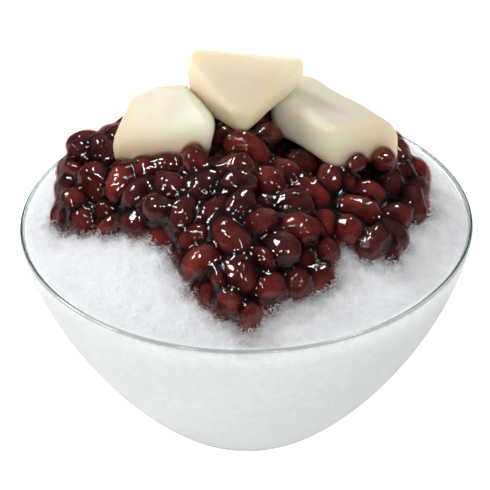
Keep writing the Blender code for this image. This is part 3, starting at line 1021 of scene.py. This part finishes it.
def core_share(places):
    """What the inside of the heap adds to the sum, from the depth below its skin."""
    depth = read_lattice(heap_field, heap_low, HEAP_STEP, places)
    return np.exp(-(CORE_DEPTH - depth) / SYRUP_REACH)


def syrup_sum(places):
    """Sum of exp(-distance / reach) over the beans and the core, and its slope."""
    total = core_share(places)
    slope = np.zeros_like(places)
    for k in range(BEAN_COUNT):
        near_bean = 0.62 * BEAN_LONG * bean_size[k] + 4 * MM
        near = np.flatnonzero(np.abs(places - bean_middle[k]).max(axis=1) < near_bean)
        share = np.exp(-bean_distance(places[near], k) / SYRUP_REACH)
        total[near] += share
        half = bean_size[k] * BEAN_HALF
        way = ((places[near] - bean_middle[k]) @ bean_turn[k] / half ** 2) @ bean_turn[k].T
        slope[near] += share[:, None] * unit(way, 1e-9)
    return total, slope


syrup_places, syrup_counts = lattice(heap_low, heap_high, SYRUP_STEP)
pull_sum = core_share(syrup_places.reshape(-1, 3)).reshape(syrup_counts)
bean_near = np.full(syrup_counts, FAR_AWAY)
for k in range(BEAN_COUNT):
    low = ((bean_middle[k] - heap_low) / SYRUP_STEP - BLOCK).astype(int).clip(0)
    block = tuple(slice(a, a + 2 * BLOCK + 1) for a in low)
    distance = bean_distance(syrup_places[block], k)
    pull_sum[block] += np.exp(-distance / SYRUP_REACH)
    bean_near[block] = np.minimum(bean_near[block], distance)

syrup_field = -SYRUP_FILM - SYRUP_REACH * np.log(pull_sum + 1e-12)
syrup_field[:, :, 0] = SYRUP_STEP  # the lattice ends in air, so the surface closes there
fill_diagonals(syrup_field, BARELY_INSIDE)
points, quads = surface_net(syrup_field, heap_low, SYRUP_STEP)
for _ in range(3):
    pull_sum, slope = syrup_sum(points)
    steep = slope / pull_sum[:, None]
    film = SYRUP_FILM * (1 + 0.35 * soft_noise(points, 2.4 * MM, 41))
    off = -film - SYRUP_REACH * np.log(pull_sum)
    step = off[:, None] * steep / ((steep ** 2).sum(axis=1)[:, None] + 0.05)
    points = points - np.clip(step, -LONGEST_NUDGE, LONGEST_NUDGE)
typical_miss = round(float(np.median(np.abs(off))) / MM, 4)
print("syrup surface:", len(points), "points, off the exact one by", typical_miss, "mm")

# %% [markdown]
# ## The look of syrup
# Syrup over beans is clear but dark: light is soaked up on its way in and out, and only the outer
# face mirrors. Refraction would make the film slow and grainy, so the finish is a mirror whose
# Alpha is the Fresnel share: a few hundredths where it is seen straight on, more at a glance. The
# share is cut off early, and its colour turns brown towards the sides, because a full mirror there
# would wrap each bean in haze. Gentle ripples spread the lamps into short bright lines.

# %% Syrup finish and the syrup
MOST_SHINE = 0.16  # share of light that syrup mirrors at most
SYRUP = new_finish("bean_syrup", (1, 1, 1), 0.035, Metallic=1.0)
tree = SYRUP.node_tree
mirror = tree.nodes.new("ShaderNodeFresnel")
mirror.inputs["IOR"].default_value = 1.39
tree.links.new(add_grain(SYRUP, 330.0, 0.0005, detail=0.8), mirror.inputs["Normal"])
side = tree.nodes.new("ShaderNodeNewGeometry")
outward = maths(tree, "SUBTRACT", 1.0, side.outputs["Backfacing"])
shine = maths(tree, "MULTIPLY", mirror.outputs[0], outward)
link(SYRUP, maths(tree, "MINIMUM", shine, MOST_SHINE), "Alpha")
glancing = ramp(tree, shine, 0.035, 0.11, 0.0, 1.0)
link(SYRUP, colour_ramp(tree, glancing, (1.0, 1.0, 1.0), (0.72, 0.44, 0.42)), "Base Color")
soak_up(SYRUP, (0.52, 0.23, 0.17), 560.0)
syrup = add_piece("syrup", squeeze(points), [quads], SYRUP)
hug = syrup.modifiers.new("over the beans", "SHRINKWRAP")
hug.target = beans
hug.wrap_method = "NEAREST_SURFACEPOINT"
hug.wrap_mode = "OUTSIDE"
hug.offset = THIN_FILM
seat(syrup, "sweet_red_bean")

# %% [markdown]
# ## The shaved ice
# The mound is one closed skin. Its top is a square grid pressed into a disc, so it has no crowded
# middle, lifted to a low dome with soft waves and layers of fine noise. From its edge the skin goes
# down inside the bowl. It reaches a tenth of a millimetre into the glass, so that no film of air
# shows between the two. Close to the beans the ice is wet and grey, and that grey is partly painted
# shade where the heap of beans shades the snow. Right at them it is stained by syrup. Both fade with
# the distance to the nearest bean, and each point carries them as numbers.

# %% The mound as a surface over a disc
INTO_GLASS = 0.12 * MM
STAIN_FLOOR = 5.0 * MM  # syrup soaks down to this height above the bottom of the beans' lattice
ICE_GRID, ICE_ROWS = 220, 24
ICE_GLOW = (1.0, 1.0, 1.1)  # how far red, green and blue light spread in ice, over one another
STAIN_REACH = 1.3  # millimetres over which the stain fades
MELT_AND_SHADE_REACH = 3.5  # and the wet grey with its painted shade


def ice_skin():
    """Top: x = u sqrt(1 - v^2 / 2), y = v sqrt(1 - u^2 / 2). Below: the bowl's inner wall."""
    u, v = np.meshgrid(*[np.linspace(-1, 1, ICE_GRID + 1)] * 2, indexing="ij")
    wall = inner_wall(ICE_ROWS, INTO_GLASS)[::-1]
    wall = wall[wall[:, 1] < ICE_TOP_Z - 0.4 * MM]
    fine_wall = inner_wall(200, INTO_GLASS)
    edge_r = np.interp(ICE_TOP_Z, fine_wall[:, 1], fine_wall[:, 0])
    x = edge_r * u * np.sqrt(1 - v * v / 2)
    y = edge_r * v * np.sqrt(1 - u * u / 2)
    r = np.hypot(x, y) / edge_r
    flat = np.stack([x, y, np.zeros_like(x)], axis=2).reshape(-1, 3)
    lumps = rough_noise(flat, 7 * MM, 5, 3).reshape(x.shape)
    z = mound(x, y) + 0.55 * MM * lumps * np.clip((1 - r) * 12, 0.25, 1)
    top = np.stack([x, y, z], axis=2).reshape(-1, 3)
    here = np.arange(len(top)).reshape(x.shape)
    rim = np.concatenate([here[:-1, 0], here[-1, :-1], here[:0:-1, -1], here[0, :0:-1]])
    bearing = np.arctan2(top[rim, 1], top[rim, 0])
    rows = carry_round(wall[:-1], bearing)
    side = np.arange(rows.shape[0] * len(rim)).reshape(rows.shape[:2]) + len(top)
    chain = np.concatenate([rim[None], side])
    skirt = ring_quads(chain)[:, ::-1]
    foot = len(top) + side.size
    fan = np.stack([np.roll(chain[-1], -1), chain[-1], np.full(len(rim), foot)], axis=1)
    points = np.concatenate([top, rows.reshape(-1, 3), [(0, 0, wall[-1, 1])]])
    return points, [np.concatenate([grid_quads(here), skirt]), fan]


def bean_gap(points):
    """Distance from points to the nearest bean, in millimetres, up to 9."""
    unsqueezed = 2 * points - squeeze(points)
    below = np.clip(heap_low[2] + STAIN_FLOOR - points[:, 2], 0, None)
    return (read_lattice(bean_near, heap_low, SYRUP_STEP, unsqueezed) + below) / MM


points, faces = ice_skin()
gap = np.clip(bean_gap(points), 0, None)
patch = rough_noise(points, 2.6 * MM, 3, 21) * 0.5 + 0.6
stain = np.clip(np.exp(-gap / STAIN_REACH) * patch, 0, 1)
# wet grey close to the beans: partly wet ice, partly painted shade from the heap
melt_and_shade = np.clip(np.exp(-gap / MELT_AND_SHADE_REACH) * patch * 1.1, 0, 1)
print("the ice has", len(points), "points, and", int((gap < 1).sum()), "of them lie within 1 mm of a bean")

# %% Ice finish and piece
ICE = new_finish("shaved_ice", (0.90, 0.925, 0.965), 0.6, Subsurface_Weight=0.6, Subsurface_Scale=0.003,
                 Subsurface_Radius=ICE_GLOW, IOR=1.31, Specular_IOR_Level=0.3)
snow = mottled(ICE, (0.93, 0.95, 0.985), (0.88, 0.91, 0.955), 420.0)
# the grey near the beans is partly painted shade
wet_shaded_snow = blend_by(ICE, "melt_and_shade", snow, (0.53, 0.50, 0.485))
link(ICE, blend_by(ICE, "stain", wet_shaded_snow, (0.40, 0.26, 0.21)), "Base Color")
add_grain(ICE, 900.0, 0.0008)
ice = add_piece("ice_mound", points, faces, ICE, {"stain": stain, "melt_and_shade": melt_and_shade})
seat(ice, "shaved_ice", "shaved_ice")

# %% [markdown]
# ## Loose ice
# Shaved ice is a pile of thin flakes and needles. Far from the beans they lie in one soft relief, but
# where the beans have pressed and melted the snow single ones stand up. Each crumb is a stretched
# double pyramid with eight faces, turned at random, longer and higher close to the beans.

# %% Scatter crumbs round the beans
CRUMB_COUNT = 24000
CRUMB = np.array([(1, 0, 0), (-1, 0, 0), (0, 1, 0), (0, -1, 0), (0, 0, 1), (0, 0, -1)], float)
CRUMB_FACES = np.array([(0, 2, 4), (2, 1, 4), (1, 3, 4), (3, 0, 4),
                        (2, 0, 5), (1, 2, 5), (3, 1, 5), (0, 3, 5)])
CRUMB_REACH = 2.4  # millimetres from the beans over which crumbs get fewer
CRUMB_FADE = 1.6  # and smaller


def crumb_places(count):
    """Places on the mound, most of them within a few millimetres of a bean, none inside one."""
    tries = count * 14
    r = ice_high.x * np.sqrt(rng.uniform(0.2, 0.985, tries))
    turn = rng.uniform(0, 2 * np.pi, tries)
    places = np.stack([r * np.cos(turn), r * np.sin(turn), np.zeros(tries)], axis=1)
    places[:, 2] = mound(places[:, 0], places[:, 1]) + 0.1 * MM
    gap = bean_gap(places)
    wanted = (gap > -0.3) * np.exp(-(np.clip(gap, 0, None) / CRUMB_REACH) ** 2)
    kept = places[rng.uniform(size=tries) < wanted][:count]
    return kept, bean_gap(kept)


crumb_at, crumb_gap = crumb_places(CRUMB_COUNT)
near = np.exp(-np.clip(crumb_gap, 0, None) / CRUMB_FADE)
count = len(crumb_at)
crumb_at[:, 2] += rng.uniform(0, 1, count) ** 2 * (0.10 + 2.2 * near) * MM
crumb_size = rng.uniform(0.10, 0.26, (count, 1)) * (1 + 0.7 * near[:, None])
half = crumb_size * rng.uniform((1.2, 0.3, 0.2), (3.4, 0.9, 0.6), (count, 3)) * MM
crumb_turn = turn_frames(random_axes(count), rng.uniform(0, 2 * np.pi, count))
crumbs = np.einsum("bij,bkj->bki", crumb_turn, CRUMB[None] * half[:, None]) + crumb_at[:, None]
print(count, "crumbs, the longest of", round(2 * half.max() / MM, 1), "mm")

# %% Crumb finish and the crumbs
CRUMB_ICE = new_finish("ice_crumb", (0.88, 0.91, 0.95), 0.35, Subsurface_Weight=0.5, Subsurface_Scale=0.002,
                       Subsurface_Radius=ICE_GLOW, IOR=1.31)
cold = mottled(CRUMB_ICE, (0.92, 0.94, 0.97), (0.80, 0.83, 0.88), 600.0)
link(CRUMB_ICE, blend_by(CRUMB_ICE, "stain", cold, (0.55, 0.40, 0.34)), "Base Color")
points, faces = join_copies(crumbs, CRUMB_FACES)
crumb_stain = np.clip(near * rng.uniform(-0.5, 0.7, count), 0, 1)
loose = add_piece("ice_crumbs", points, [faces], CRUMB_ICE, {"stain": np.repeat(crumb_stain, len(CRUMB))})
seat(loose, "shaved_ice")

# %% [markdown]
# ## Rice cake
# The blocks are cut from a soft steamed slab, so their sides are flat but all edges have sagged
# round. The CAD blocks already fit together. Each is copied, welded, remeshed into small even
# cells, smoothed, and made a little uneven. The finish is dense and waxy: light goes a few
# millimetres in and comes out warm. Towards the bottom the colour turns darker and warmer: painted
# warm shade that stands in for the bounce light from the beans.

# %% Soften copies of the CAD blocks
CAKE_CELL = 0.5 * MM  # of the remeshing
CAKE_ROUNDS = 6  # of smoothing
CAKE_UNEVEN = 0.34  # millimetres
RICE_CAKE = new_finish("rice_cake", (0.85, 0.75, 0.56), 0.42, Subsurface_Weight=0.9, Subsurface_Scale=0.014,
                       Subsurface_Radius=(1.0, 0.55, 0.25), Specular_IOR_Level=0.3)
cream = mottled(RICE_CAKE, (0.765, 0.73, 0.60), (0.75, 0.69, 0.535), 90.0)
# darker and warmer towards the bottom: painted warm shade for the bounce light from the beans
link(RICE_CAKE, blend_by(RICE_CAKE, "warm_painted_shade", cream, (0.70, 0.53, 0.31)), "Base Color")
add_grain(RICE_CAKE, 900.0, 0.00006)


def soft_copy(node, name, cell, rounds):
    """A remeshed and smoothed copy of a CAD block."""
    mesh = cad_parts[node].data.copy()
    block = bpy.data.objects.new("block", mesh)
    scene.collection.objects.link(block)
    for kind, settings in (
            ("WELD", {"merge_threshold": 0.01 * MM}),
            ("REMESH", {"mode": "VOXEL", "voxel_size": cell}),
            ("SMOOTH", {"factor": 0.5, "iterations": rounds})):
        step = block.modifiers.new(kind, kind)
        for key, value in settings.items():
            setattr(step, key, value)
    bpy.context.view_layer.update()
    soft = bpy.data.meshes.new_from_object(block.evaluated_get(bpy.context.evaluated_depsgraph_get()))
    points = np.array([v.co for v in soft.vertices])
    faces = np.array([p.vertices for p in soft.polygons])
    bpy.data.objects.remove(block)
    uneven = np.stack([rough_noise(points, 9 * MM, 2, 31 + 7 * k) for k in range(3)], axis=1)
    points += uneven * CAKE_UNEVEN * MM
    # painted warm shade, strongest at the bottom of each block, with soft noise
    low, high = points[:, 2].min(), points[:, 2].max()
    fall = 1.25 * (points[:, 2] - low) / (high - low)
    warm_painted_shade = np.clip(0.95 - fall + 0.25 * soft_noise(points, 8 * MM, 51), 0, 1)
    return add_piece(name, points, [faces], RICE_CAKE, {"warm_painted_shade": warm_painted_shade})


for which in ("left", "middle", "right"):
    node = "rice_cake_" + which
    block = soft_copy(node, "rice_cake_block_" + which, CAKE_CELL, CAKE_ROUNDS)
    seat(block, "rice_cake", node)

# %% [markdown]
# ## The end

# %% Bring the view layer up to date
bpy.context.view_layer.update()
